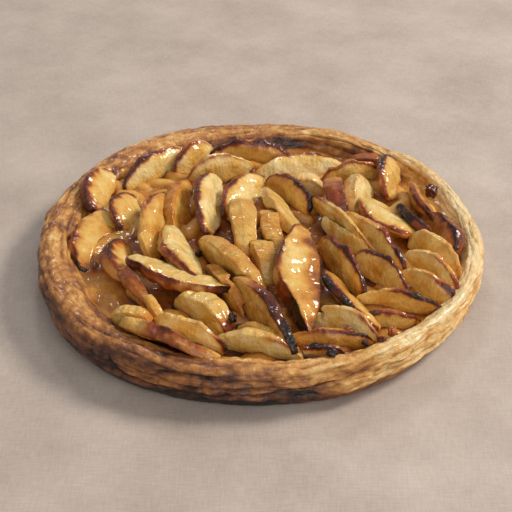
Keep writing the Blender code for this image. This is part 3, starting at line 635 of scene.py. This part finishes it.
def make_case(look):
    """The pastry case, with its leaves, cracks and folds as real relief."""
    angles = TURN * np.arange(CASE_COLUMNS + 1) / CASE_COLUMNS
    angles[-1] = 0.0
    insets, heights = case_section(angles)
    rows = insets.shape[0]
    angle = np.broadcast_to(angles, insets.shape)
    degrees = np.degrees(angle)
    around = angle / TURN * CELLS_ROUND
    width = by_bearing(RIM_WIDTHS, angles)
    rim = by_bearing(RIM_HEIGHTS, angles)
    row = np.arange(rows)[:, None] * np.ones_like(insets)
    outer = (row < int(np.argmax(heights[:, 0]))).astype(float)
    below_rim = rim - heights
    band = smooth_step(6.0, 10.0, heights)
    on_top = smooth_step(3.5, 1.0, below_rim)
    inner = (1.0 - outer) * smooth_step(1.0, 5.0, below_rim)
    left = facing(degrees, *LEFT_SIDE)
    back = facing(degrees, *BACK_SIDE)
    front_left = facing(degrees, *FRONT_LEFT)
    right_front = facing(degrees, *RIGHT_FRONT, past_zero=True)
    right_side = facing(degrees, *RIGHT_SIDE, past_zero=True)

    # Distance along the section, from the foot up the wall and over the rim, and the way out of it
    steps = np.hypot(np.diff(insets, axis=0), np.diff(heights, axis=0))
    run = np.vstack([np.zeros_like(steps[:1]), np.cumsum(steps, axis=0)])
    rise = np.gradient(heights, axis=0)
    retreat = np.gradient(insets, axis=0)
    length = np.maximum(np.hypot(rise, retreat), 1e-6)
    out, up = rise / length, retreat / length

    # Strands of dough run round the case: puffed between long creases that split and join
    bend = 1.6 * noise((around * 0.5, run * 0.03), 3, 18) + 0.8 * noise((around * 2, run * 0.08), 5, 72)
    bent = run + bend
    broad = noise((around * 0.75, bent / 4.6), 9, 27)
    strand = noise((around * 2, bent / 2.3), 11, 72)
    thread = noise((around * 5, bent / 1.2), 13, 180)
    patch = smooth_step(-0.6, 0.3, noise((around * 0.75, run / 9.0), 15, 27))
    deep = bell(broad, 0.085) * patch
    creases = bell(strand, 0.13) * (0.4 + 0.6 * patch)
    nicks = bell(thread, 0.16)
    puffed = np.abs(broad) * 2.6 + np.abs(strand) * 0.9 + np.abs(thread) * 0.3
    lumps = noise((around, run / 10.0), 31, 36) + 0.5 * noise((around * 3, run / 4.0), 33, 108)
    relief = puffed - 0.9 - 1.2 * deep - 0.6 * creases - 0.25 * nicks + 0.8 * lumps
    amount = (0.25 + 0.75 * band) * smooth_step(0.0, 3.0, run) * (1.0 - 0.6 * inner)
    amount = amount * (1.0 - 0.7 * on_top) * smooth_step(0.0, 6.0, run[-1:] - run)
    crinkle = 0.40 * noise((around * 7, run / 2.4), 61, 252) + 0.35 * noise((around * 4, run / 1.6), 63, 144)
    relief = relief * amount + crinkle * smooth_step(2.0, 6.0, run) * (0.55 + 0.45 * on_top)

    # Cross cracks in the pale rim on the left, low folds on top, and an inner edge that wanders
    cross = -bell(noise((around * 3 + insets * 0.12, insets * 0.1), 48, 108), 0.12)
    top = 1.0 - smooth_step(1.5, 8.0, below_rim)
    folds = noise((around * 0.75, insets * 0.06), 45, 27) + 0.6 * noise((around * 1.5, insets * 0.1), 47, 54)
    lift = top * (1.25 * folds + 0.8 * cross * left * smooth_step(0.2, 0.6, insets / width))
    sway = 1.8 * noise((around, heights * 0.03), 49, 36) + noise((around * 3, heights * 0.1), 50, 108)
    sway = inner * sway * smooth_step(0.0, 3.0, heights - FLOOR_TOP)

    middle_x, middle_y = outline_middle()
    radius = outline_radius(angle) - insets + relief * out - sway
    high = heights + relief * up + lift
    x = radius * np.cos(angle) - middle_x
    y = radius * np.sin(angle) - middle_y

    # Flat base and hidden floor end in a pole each
    base = [(x[0] * share, y[0] * share, high[0] * 0.0) for share in (0.0, 0.35, 0.7)]
    floor = [(x[-1] * share, y[-1] * share, high[-1]) for share in (0.7, 0.35, 0.0)]
    x = np.vstack([b[0] for b in base] + [x] + [f[0] for f in floor])
    y = np.vstack([b[1] for b in base] + [y] + [f[1] for f in floor])
    z = np.vstack([b[2] for b in base] + [high] + [f[2] for f in floor])
    z = np.maximum(z, 0.0)

    def padded(values, low=0.0):
        edge = np.full((3, values.shape[1]), low)
        return np.vstack([edge, values, edge])

    # Browning and painted light: dark low on the wall, painted shade in the cracks and on the front left and
    # the left outside, pale on the left rim, and painted light on the right, which is paler, golden and
    # glossy
    low_dark = smooth_step(13.0, 5.0, heights) * outer
    patches = noise((around * 0.75, run / 14.0), 51, 27) + 0.5 * noise((around * 3, run / 5.0), 53, 108)
    # Darker low on the wall and on the outer wall; the left outside is browner and painted darker with shade
    bake = 0.55 + 0.18 * low_dark + 0.05 * left * (1.0 - inner) + 0.14 * outer * (1.0 - on_top)
    bake += 0.10 * patches
    # Painted shade: darker in the cracks and creases, less so on the right front, on top and inside
    cracks = (0.20 * deep + 0.13 * creases + 0.08 * nicks) * (0.3 + 0.7 * band) * (1.0 - 0.5 * right_front)
    bake += cracks * (1.0 - 0.8 * on_top) * (1.0 - 0.8 * inner)
    # Painted light: puffed strands and crinkles are paler
    bake -= 0.16 * np.clip(np.abs(broad) * 2.0, 0.0, 1.0) * band + 0.08 * np.clip(crinkle * 2.0, -1.0, 1.0)
    inner_brown = 0.26 * inner * (1.0 - 0.75 * left) * (1.0 - 0.9 * right_side)
    # Inner wall browner, less so on the left and right; the front left painted darker with shade; the back
    # browner
    bake += inner_brown + 0.13 * front_left + (0.06 + 0.06 * inner) * back
    # Painted light: the right front and right side are paler and more golden, where the key light falls
    bake += -0.03 * left * on_top - 0.48 * np.maximum(right_front, 0.9 * right_side) * (0.8 + 0.2 * on_top)
    # Painted shade in the cross cracks of the pale left rim
    bake += 0.25 * np.maximum(-cross - 0.3, 0.0) * left * on_top
    bake -= 0.10 * left * smooth_step(0.3, 0.6, insets / width) * (1.0 - outer)
    # Darker on the front; painted light on the lumps of the right front
    bake += 0.07 * facing(degrees, *FRONT_SIDE) - 0.10 * band * right_front * np.clip(lumps, 0.0, 1.0)
    flour = noise((around * 2, insets * 0.25), 65, 72) + 0.6 * noise((around * 5, run * 0.3), 67, 180)
    bake -= (0.16 + 0.12 * left) * (1.0 - low_dark) * (1.0 - 0.6 * front_left) * np.clip(flour, 0.0, 1.0)
    scorch = scorch_mark(degrees, heights, WALL_SCORCH)
    scorch += 0.8 * scorch_mark(degrees, insets, RIM_SCORCH) * on_top
    bake = np.clip(bake + 0.5 * scorch, 0.02, 1.0)
    wash = 0.12 + 0.7 * on_top * (0.4 + 0.6 * right_front) + 0.6 * right_front * outer * band + 0.35 * inner
    wash = np.clip(wash + 0.15 * patches, 0.0, 1.0)

    case = grid_sheet("puff_pastry_case", x.shape[1], x.shape[0])
    move_to(case.data, np.stack([x.ravel(), y.ravel(), z.ravel()], axis=1))
    store(case.data, "bake", padded(bake, 0.7).ravel())
    store(case.data, "wash", padded(wash).ravel())
    close_seams(case)
    case.data.materials.append(baked_pastry_material(look))
    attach(case, BODY)
    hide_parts("pastry_case")
    return case


def slice_axes(row):
    """Middle, half length and the three directions of a slice, in millimetres."""
    one, two = Vector(row[0]), Vector(row[1])
    along = (two - one).normalized()
    side = Vector((-along.y, along.x, 0.0)).normalized()
    up = along.cross(side)
    tilt = math.radians(row[2])
    bulge = up * math.cos(tilt) + side * math.sin(tilt)
    across = side * math.cos(tilt) - up * math.sin(tilt)
    half = (two - one).length / 2.0 + TIP_STRETCH
    return np.array((one + two) / 2.0), half, np.array(along), np.array(bulge), np.array(across)


def slice_places(row, points):
    """Share of the half length, height, share of the thickness and way in from the skin, at each point."""
    middle, half, along, bulge, across = slice_axes(row)
    depth, wedge = row[3], row[4]
    tip = TIP_SHARE * depth
    away = points - middle
    share = away @ along / half
    rise = away @ bulge
    thick = (CORE_RADIUS + np.maximum(rise + tip, 0.0)) * math.tan(math.radians(wedge) / 2.0)
    side = away @ across / np.maximum(thick, 1.0)
    upper = np.maximum(rise, 0.0) / (depth - tip)
    reach = (np.abs(share) ** SKIN_FULLNESS + upper ** SKIN_FULLNESS) ** (1.0 / SKIN_FULLNESS)
    flat = np.hypot(share * half, rise)
    inward = np.where(rise > 0.0, flat * (1.0 / np.maximum(reach, 0.05) - 1.0),
                      np.hypot((1.0 - np.abs(share)) * half, rise))
    return share, rise + tip, side, np.maximum(inward, 0.0)


def make_slice(number, row, material):
    """One apple slice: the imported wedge, softened, with fibres and a blistered burnt ridge."""
    node = f"apple_slice_{number:02d}"
    piece = frame["nodes"][node].copy()
    piece.data = piece.data.copy()
    piece.name = f"baked_{node}"
    piece.data.name = piece.name
    for key in list(piece.keys()):
        del piece[key]
    piece.parent = None
    bpy.context.scene.collection.objects.link(piece)
    select_only(piece)
    bpy.ops.object.mode_set(mode="EDIT")
    bpy.ops.mesh.select_all(action="SELECT")
    bpy.ops.mesh.remove_doubles(threshold=1e-6)
    bpy.ops.object.mode_set(mode="OBJECT")
    add_modifier(piece, "REMESH", mode="VOXEL", voxel_size=VOXEL * MM, use_smooth_shade=True)
    add_modifier(piece, "SMOOTH", factor=0.6, iterations=3)

    places = coordinates(piece.data)
    share, height, side, inward = slice_places(row, places)
    middle, half, _, bulge, across = slice_axes(row)
    depth = row[3]
    burns, strip, reach, tone = row[5:]
    seed = 100 + number * 7
    along_mm = share * half

    # The ridge is baked thinner than the wedge, and its crest is uneven
    slim = RIDGE_BROAD if number in BROAD_RIDGES else RIDGE_SLIM
    from_middle = (places - middle) @ across
    pinch = slim * bell(inward, PINCH_REACH)
    places = places - np.outer(from_middle * pinch, across)
    if number in TAPERS:
        lost_one, lost_two = TAPERS[number]
        narrow = lost_one * smooth_step(-0.1, -1.0, share) + lost_two * smooth_step(0.0, 1.0, share)
        from_core = (places - middle) @ bulge
        places = places - np.outer(from_core * narrow, bulge)
    ripple = CREST_RIPPLE * noise((along_mm / 3.3, side * 0.6), seed + 12)
    crest = CREST_WAVE * noise((along_mm / 8.0, side * 0.4), seed + 11) + ripple - CREST_DROP
    crest = np.exp(-inward / CREST_REACH) * crest
    places = places + np.outer(crest, bulge)
    # Each slice sags and twists a little in the oven
    curl = TWIST * noise((along_mm / 22.0, height / 30.0), seed + 14)
    places = places + np.outer(curl, across)
    move_to(piece.data, places)
    ways = normals(piece.data)

    # The burn is patchy along the ridge and reaches in by uneven tongues
    edge_burn = np.interp(share, (-1.0, -0.5, 0.0, 0.5, 1.0), burns) * BURN_DEPTH
    patches = 1.2 * noise((along_mm / 13.0, side * 0.5), seed)
    patches += 0.5 * noise((along_mm / 4.0, side), seed + 1)
    edge_burn = edge_burn * np.clip(1.0 + 0.5 * patches, 0.2, 1.45)
    tongue = BURN_REACH * reach * np.clip(1.0 + 0.6 * noise((along_mm / 5.0, side * 0.5), seed + 2)
                                          + 0.5 * noise((along_mm / 1.8, side * 0.5), seed + 3), 0.3, 2.2)
    on_skin = bell(inward, 0.9)
    near = np.exp(-(np.maximum(inward - 0.4, 0.0) / tongue) ** 1.4)
    strip_share = 0.75 * strip + (1.0 - 0.75 * strip) * np.abs(np.clip(side, -1, 1)) ** 4
    burn = edge_burn * near * (1.0 - on_skin * (1.0 - strip_share))
    burn += 0.12 * edge_burn * np.exp(-inward / (3.0 * reach))
    burn = np.clip(burn, 0.0, 1.1)

    # Slumped faces, fibres across the slice, blisters on the burnt ridge
    slump = SLUMP * noise(places.T / 13.0, seed + 4) + SLUMP_RIPPLE * noise(places.T / 5.0, seed + 5)
    fibres = 0.12 * noise((along_mm * 0.8 + 0.3 * np.sin(height * 0.5), height * 0.15), seed + 6)
    fibres += 0.12 * noise(places.T / 2.2, seed + 7)
    blisters = burn ** 1.2 * (0.55 * noise(places.T / 1.9, seed + 8) + 0.3 * noise(places.T / 0.9, seed + 9))
    at_ridge = np.exp(-inward / 3.0)
    outward = SWELL * (1.0 - 0.8 * at_ridge) + slump * (1.0 - 0.5 * at_ridge) + fibres + blisters
    move_to(piece.data, places + ways * outward[:, None])

    # Flesh is darker lower down in the heap
    darker_low_down = smooth_step(24.0, 14.0, places[:, 2])
    flesh = tone + 0.36 * darker_low_down + 0.20 * noise(places.T / 9.0, seed + 10)
    flesh += 0.26 * edge_burn * np.exp(-inward / 5.0) + 0.22 * smooth_step(7.0, 0.0, height)
    flesh += 0.10 * noise(np.full((1, 1), number * 3.7), 5)[0]
    if number in SYRUPY:
        way_up = height / depth + 0.25 * noise(places.T / 7.0, seed + 13)
        flesh += SYRUPY[number] * smooth_step(0.8, 0.0, way_up)
    store(piece.data, "burn", burn)
    store(piece.data, "tone", np.clip(flesh, 0.0, 1.1))
    uv = piece.data.uv_layers.new(name="slice")
    corners = np.zeros(len(piece.data.loops), dtype=np.int64)
    piece.data.loops.foreach_get("vertex_index", corners)
    flat = np.stack([along_mm + number * 37.0, height], axis=1)[corners]
    uv.data.foreach_set("uv", flat.ravel().astype(np.float32))
    piece.data.materials.clear()
    piece.data.materials.append(material)
    piece.data.polygons.foreach_set("material_index", np.zeros(len(piece.data.polygons), dtype=np.int32))
    piece.data.shade_smooth()
    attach(piece, BODY)
    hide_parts(node)
    return piece


def make_bits(material):
    """Burnt bits that broke off the slices, each a small spiky lump."""
    deselect_all()
    first, first_radius, _ = BITS[0]
    bpy.ops.mesh.primitive_ico_sphere_add(subdivisions=4, radius=first_radius * MM,
                                          location=Vector(first) * MM)
    bits = bpy.context.object
    bits.name = "burnt_apple_bits"
    bits.data.name = bits.name
    select_only(bits)
    bpy.ops.object.transform_apply(location=True)
    bpy.ops.object.mode_set(mode="EDIT")
    for place, radius, _ in BITS[1:]:
        bpy.ops.mesh.primitive_ico_sphere_add(subdivisions=4, radius=radius * MM, location=Vector(place) * MM)
    bpy.ops.object.mode_set(mode="OBJECT")
    places = coordinates(bits.data)
    centres = np.array([place for place, _, _ in BITS], dtype=float)
    nearest = np.argmin(((places[:, None, :] - centres[None]) ** 2).sum(axis=2), axis=1)
    away = places - centres[nearest]
    spikes = 1.0 + 0.45 * noise(places.T / 1.8, 91) + 0.25 * noise(places.T / 0.8, 93)
    move_to(bits.data, centres[nearest] + away * spikes[:, None])
    burnt = np.array([share for _, _, share in BITS])[nearest]
    store(bits.data, "burn", burnt * (0.8 + 0.3 * (spikes - 1.0)))
    store(bits.data, "tone", np.full(len(places), 0.6))
    bits.data.uv_layers.new(name="slice")
    bits.data.materials.append(material)
    bits.data.shade_smooth()
    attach(bits, BODY)
    return bits


def syrup_near(slices, spots):
    """How high the syrup climbs at each spot, and how dark the custard is there, from pooled syrup and
    painted shade between slices.
    """
    trees = []
    for piece in slices:
        work = bmesh.new()
        work.from_mesh(piece.data)
        box = coordinates(piece.data)
        trees.append((BVHTree.FromBMesh(work), box.min(0) - 5.0, box.max(0) + 5.0))
        work.free()
    lift = np.zeros(len(spots))
    syrup_and_shade = np.zeros(len(spots))
    for index, spot in enumerate(spots):
        near = second = SYRUP_REACH
        for tree, low, high in trees:
            if low[0] < spot[0] < high[0] and low[1] < spot[1] < high[1]:
                found = tree.find_nearest(Vector((spot[0], spot[1], spot[2] + 1.5)) * MM, SYRUP_REACH * MM)
                if found[3] is not None and found[3] / MM < second:
                    near, second = sorted((near, found[3] / MM, second))[:2]
        lift[index] = 1.6 * math.exp(-near / 1.5) + 2.2 * math.exp(-(near + second) / 3.5)
        # Darker close to one slice and more so between two: pooled syrup and painted shade
        syrup_and_shade[index] = math.exp(-near / 1.8) + math.exp(-(near + second) / 4.0)
    return lift, syrup_and_shade


def make_custard(slices):
    """The custard and the syrup on it, which climb the slices and cover sunken bits of apple."""
    angles = TURN * np.arange(CUSTARD_COLUMNS + 1) / CUSTARD_COLUMNS
    angles[-1] = 0.0
    width = by_bearing(RIM_WIDTHS, angles)
    height = by_bearing(RIM_HEIGHTS, angles)
    level_edge = CUSTARD_LEVEL + CUSTARD_EDGE_RISE
    climb = (level_edge - FLOOR_TOP) / ((height - FLOOR_TOP) / 2.0)
    edge = width + WALL_FOOT_INSET + np.clip(climb, 0.0, 1.0) * (WALL_MIDDLE_INSET - WALL_FOOT_INSET)
    edge = np.where(climb > 1.0, width + WALL_MIDDLE_INSET * (2.0 - climb), edge)
    middle_x, middle_y = outline_middle()
    outer = outline_radius(angles) - edge + 1.6
    shares = np.linspace(0.0, 1.0, CUSTARD_RINGS)[:, None] ** 0.6
    x = outer * shares * np.cos(angles) - middle_x
    y = outer * shares * np.sin(angles) - middle_y
    z = CUSTARD_LEVEL + CUSTARD_EDGE_RISE * np.exp(-outer * (1.0 - shares) / 4.0)

    # Sunken bits of apple lift the surface, but not in the bare custard on the left
    dice = np.random.default_rng(7)
    mound = np.zeros_like(x)
    for _ in range(SUNKEN_BITS):
        spin = dice.uniform(0.0, TURN)
        reach = SUNKEN_REACH * math.sqrt(dice.uniform())
        turn = dice.uniform(0.0, math.pi)
        long, wide, tall = [dice.uniform(*sizes) for sizes in (SUNKEN_LENGTHS, SUNKEN_WIDTHS, SUNKEN_HEIGHTS)]
        centre = (reach * math.cos(spin), reach * math.sin(spin))
        if centre[0] < BARE_RIGHT_EDGE and BARE_FRONT_EDGE < centre[1] < BARE_BACK_EDGE:
            continue
        east, north = x - centre[0], y - centre[1]
        u = (east * math.cos(turn) + north * math.sin(turn)) / long
        v = (north * math.cos(turn) - east * math.sin(turn)) / wide
        dome = np.clip(1.0 - u ** 2 - v ** 2 * (1.0 + 0.3 * np.sign(v)), 0.0, 1.0)
        mound = np.maximum(mound, tall * np.sqrt(dome))

    shape = x.shape
    lift, syrup_and_shade = syrup_near(slices, np.stack([x.ravel(), y.ravel(), (z + mound).ravel()], axis=1))
    lift, syrup_and_shade = lift.reshape(shape), syrup_and_shade.reshape(shape)
    spread = np.stack([x, y])
    left = smooth_step(-60.0, -95.0, x)
    wrinkle = 0.7 * left * noise(np.stack([x * 0.22, (x + y) * 0.09]), 77)
    z = z + wrinkle + mound + lift * np.exp(-mound / 3.0)
    z = z + 0.6 * noise(spread / 9.0, 71) + 0.35 * noise(spread / 3.5, 73)
    # Custard darker near slices, from pooled syrup and painted shade
    tone = 0.56 - 0.16 * left + 0.40 * syrup_and_shade * (1.0 - 0.6 * left) - 0.34 * np.clip(mound / 3.0, 0.0, 1.0)
    tone += 0.14 * noise(spread / 14.0, 75) - 0.22 * smooth_step(60.0, 100.0, x)
    spot = np.exp(-((x - BURNT_SPOT[0]) ** 2 + (y - BURNT_SPOT[1]) ** 2) / 12.0)
    tone = tone + 0.35 * spot

    # A lower sheet closes the custard underneath
    under = np.minimum(z, FLOOR_TOP + 0.4)
    x = np.vstack([x, x[::-1][1:]])
    y = np.vstack([y, y[::-1][1:]])
    z = np.vstack([z, under[::-1][1:]])
    custard = grid_sheet("set_custard_filling", x.shape[1], x.shape[0])
    move_to(custard.data, np.stack([x.ravel(), y.ravel(), z.ravel()], axis=1))
    store(custard.data, "tone", np.clip(np.vstack([tone, tone[::-1][1:]]), 0.0, 1.0).ravel())
    close_seams(custard)
    custard.data.materials.append(custard_material())
    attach(custard, BODY)
    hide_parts("custard_filling")
    return custard


def make_stage(look):
    """The table top, the studio lights and the camera."""
    deselect_all()
    bpy.ops.mesh.primitive_grid_add(x_subdivisions=8, y_subdivisions=8, size=TABLE_SIZE)
    table = bpy.context.object
    table.name = "table_top"
    table.data.materials.append(table_material())

    # Each lamp: place and disk size in metres, power and tint
    for name, place, size, power, tint in (
        ("key_light", (2.0, 0.7, 1.8), 0.85, look.key_power, "FFF4E6"),
        ("front_light", (0.25, -1.1, 0.9), 1.2, look.fill_power, "FFF8F0"),
        ("back_glint", (-0.1, 1.1, 1.2), 0.25, look.glint_power, "FFFFFF"),
    ):
        lamp = bpy.data.lights.new(name, "AREA")
        lamp.shape = "DISK"
        lamp.size = size
        lamp.energy = power
        lamp.color = colour(tint)[:3]
        holder = bpy.data.objects.new(name, lamp)
        holder.location = place
        holder.rotation_euler = (-Vector(place)).to_track_quat("-Z", "Y").to_euler()
        bpy.context.scene.collection.objects.link(holder)

    world = bpy.data.worlds.new("soft_room")
    bpy.context.scene.world = world
    world.use_nodes = True
    background = world.node_tree.nodes["Background"]
    background.inputs["Color"].default_value = colour("EFE9E4")
    background.inputs["Strength"].default_value = look.room_light

    camera = bpy.data.cameras.new("photo_camera")
    camera.sensor_width = SENSOR_WIDTH
    camera.lens = LENS
    eye = bpy.data.objects.new("photo_camera", camera)
    bpy.context.scene.collection.objects.link(eye)
    target = Vector(CAMERA_TARGET)
    tilt = math.radians(CAMERA_ELEVATION)
    eye.location = target + CAMERA_DISTANCE * Vector((0.0, -math.cos(tilt), math.sin(tilt)))
    eye.rotation_euler = (target - eye.location).to_track_quat("-Z", "Y").to_euler()
    bpy.context.scene.camera = eye
    bpy.context.scene.view_settings.view_transform = "Standard"


class TartLook(bpy.types.PropertyGroup):
    """Sizes and strengths of the tart's finish that a user would change."""
    pastry_mottle: bpy.props.FloatProperty(
        name="Pastry mottle", description="How uneven the pastry's browning is",
        default=0.5, min=0.0, max=1.0)
    flesh_glow: bpy.props.FloatProperty(
        name="Flesh glow", description="How much light passes through the apple",
        default=0.35, min=0.0, max=1.0)
    glaze: bpy.props.FloatProperty(
        name="Glaze", description="Strength of the wet glaze on the apple", default=0.8, min=0.0, max=1.0)


class StageLook(bpy.types.PropertyGroup):
    """Lights of the stage."""
    key_power: bpy.props.FloatProperty(
        name="Key light", description="Power of the main light", default=62.0, min=0.0, unit="POWER")
    fill_power: bpy.props.FloatProperty(
        name="Fill light", description="Power of the soft front light", default=6.5, min=0.0, unit="POWER")
    glint_power: bpy.props.FloatProperty(
        name="Glint light", description="Power of the small light behind the tart",
        default=3.0, min=0.0, unit="POWER")
    room_light: bpy.props.FloatProperty(
        name="Room light", description="Strength of the light from all round", default=0.38, min=0.0)


class TART_OT_pastry_case(bpy.types.Operator):
    """Make the puff pastry case"""
    bl_idname = "tart.pastry_case"
    bl_label = "Pastry case"

    def execute(self, context):
        make_case(context.scene.tart_look)
        return {"FINISHED"}


class TART_OT_apple_slices(bpy.types.Operator):
    """Make the baked apple slices"""
    bl_idname = "tart.apple_slices"
    bl_label = "Apple slices"

    def execute(self, context):
        material = baked_apple_material(context.scene.tart_look)
        for number, row in enumerate(SLICES, start=1):
            make_slice(number, row, material)
        make_bits(material)
        return {"FINISHED"}


class TART_OT_custard(bpy.types.Operator):
    """Make the custard between the slices"""
    bl_idname = "tart.custard"
    bl_label = "Custard"

    def execute(self, context):
        slices = [thing for thing in bpy.data.objects if thing.name.startswith("baked_apple_slice")]
        make_custard(slices)
        return {"FINISHED"}


class TART_OT_stage(bpy.types.Operator):
    """Make the table top, lights and camera"""
    bl_idname = "tart.stage"
    bl_label = "Stage"

    def execute(self, context):
        make_stage(context.scene.stage_look)
        return {"FINISHED"}


class TART_PT_panel(bpy.types.Panel):
    """The tart's pieces in the sidebar"""
    bl_idname = "TART_PT_panel"
    bl_label = "Apple tart"
    bl_space_type = "VIEW_3D"
    bl_region_type = "UI"
    bl_category = "Tart"

    def draw(self, context):
        for group in (context.scene.tart_look, context.scene.stage_look):
            for name in group.bl_rna.properties.keys():
                if name not in ("rna_type", "name"):
                    self.layout.prop(group, name)
        for operator in PIECES:
            self.layout.operator(operator.bl_idname)


PIECES = (TART_OT_stage, TART_OT_pastry_case, TART_OT_apple_slices, TART_OT_custard)
CLASSES = (TartLook, StageLook, *PIECES, TART_PT_panel)


def register():
    """Adds the classes and the looks that the sidebar shows."""
    for part in CLASSES:
        bpy.utils.register_class(part)
    bpy.types.Scene.tart_look = bpy.props.PointerProperty(type=TartLook)
    bpy.types.Scene.stage_look = bpy.props.PointerProperty(type=StageLook)


def unregister():
    """Takes the looks and the classes away again."""
    del bpy.types.Scene.stage_look
    del bpy.types.Scene.tart_look
    for part in reversed(CLASSES):
        bpy.utils.unregister_class(part)


def main():
    """Makes the stage and the tart."""
    register()
    bpy.ops.tart.stage()
    bpy.ops.tart.pastry_case()
    bpy.ops.tart.apple_slices()
    bpy.ops.tart.custard()


if __name__ == "__main__":
    main()
